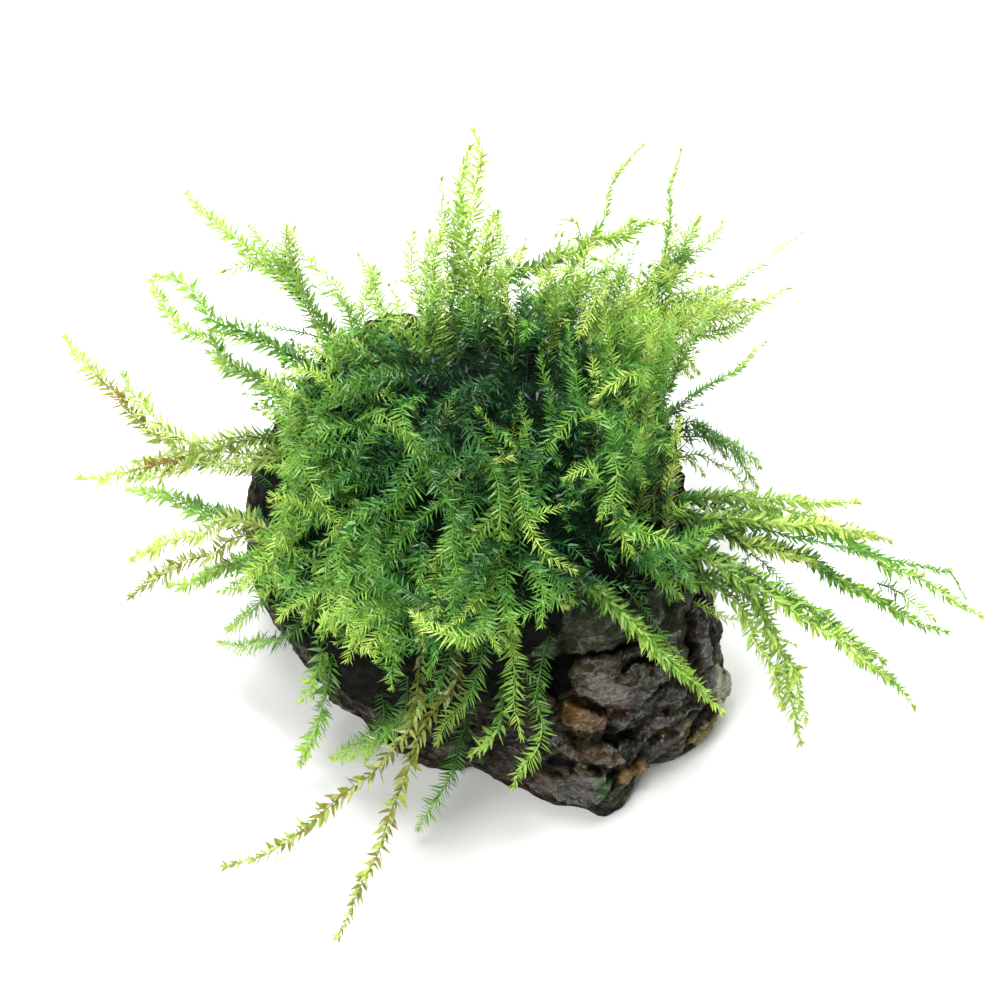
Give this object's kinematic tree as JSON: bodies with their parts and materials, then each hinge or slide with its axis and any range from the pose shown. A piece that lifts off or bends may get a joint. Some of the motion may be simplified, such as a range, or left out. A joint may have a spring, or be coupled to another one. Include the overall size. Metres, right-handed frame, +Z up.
{
  "type": "aquarium moss on a stone",
  "caption": "Aquarium moss with long feathery shoots on a dark layered stone that stands on its flat underside.",
  "frame": {"origin": "on the flat underside of the stone, near its middle, so the part stands on z = 0", "axes": "+Z is up, +X runs to the right along the longest extent, and the picture's viewer looks along +Y from above"},
  "size_m": [0.1443, 0.11, 0.0642],
  "materials": {
    "stone": "rough, damp",
    "moss_mat": "matt",
    "moss_leaves": "damp satin"
  },
  "bodies": {
    "root": {"stone": "stone", "moss_cushion": "moss_mat", "shoot_left_1": "moss_leaves", "shoot_left_2": "moss_leaves", "shoot_left_3": "moss_leaves", "shoot_left_4": "moss_leaves", "shoot_left_5": "moss_leaves", "shoot_left_6": "moss_leaves", "shoot_left_7": "moss_leaves", "shoot_left_8": "moss_leaves", "shoot_left_9": "moss_leaves", "shoot_left_10": "moss_leaves", "shoot_left_11": "moss_leaves", "shoot_front_1": "moss_leaves", "shoot_front_2": "moss_leaves", "shoot_front_3": "moss_leaves", "shoot_front_4": "moss_leaves", "shoot_front_5": "moss_leaves", "shoot_front_6": "moss_leaves", "shoot_front_7": "moss_leaves", "shoot_front_8": "moss_leaves", "shoot_front_9": "moss_leaves", "shoot_front_10": "moss_leaves", "shoot_right_1": "moss_leaves", "shoot_right_2": "moss_leaves", "shoot_right_3": "moss_leaves", "shoot_right_4": "moss_leaves", "shoot_right_5": "moss_leaves", "shoot_right_6": "moss_leaves", "shoot_right_7": "moss_leaves", "shoot_right_8": "moss_leaves", "shoot_right_9": "moss_leaves", "shoot_back_1": "moss_leaves", "shoot_back_2": "moss_leaves", "shoot_back_3": "moss_leaves", "shoot_back_4": "moss_leaves", "shoot_back_5": "moss_leaves", "shoot_back_6": "moss_leaves", "shoot_back_7": "moss_leaves", "shoot_back_8": "moss_leaves", "shoot_back_9": "moss_leaves", "shoot_back_10": "moss_leaves", "shoot_back_11": "moss_leaves", "shoot_back_12": "moss_leaves", "shoot_back_13": "moss_leaves", "shoot_back_14": "moss_leaves", "shoot_back_15": "moss_leaves", "shoot_back_16": "moss_leaves", "shoot_back_17": "moss_leaves", "shoot_back_18": "moss_leaves"}
  },
  "joints": []
}
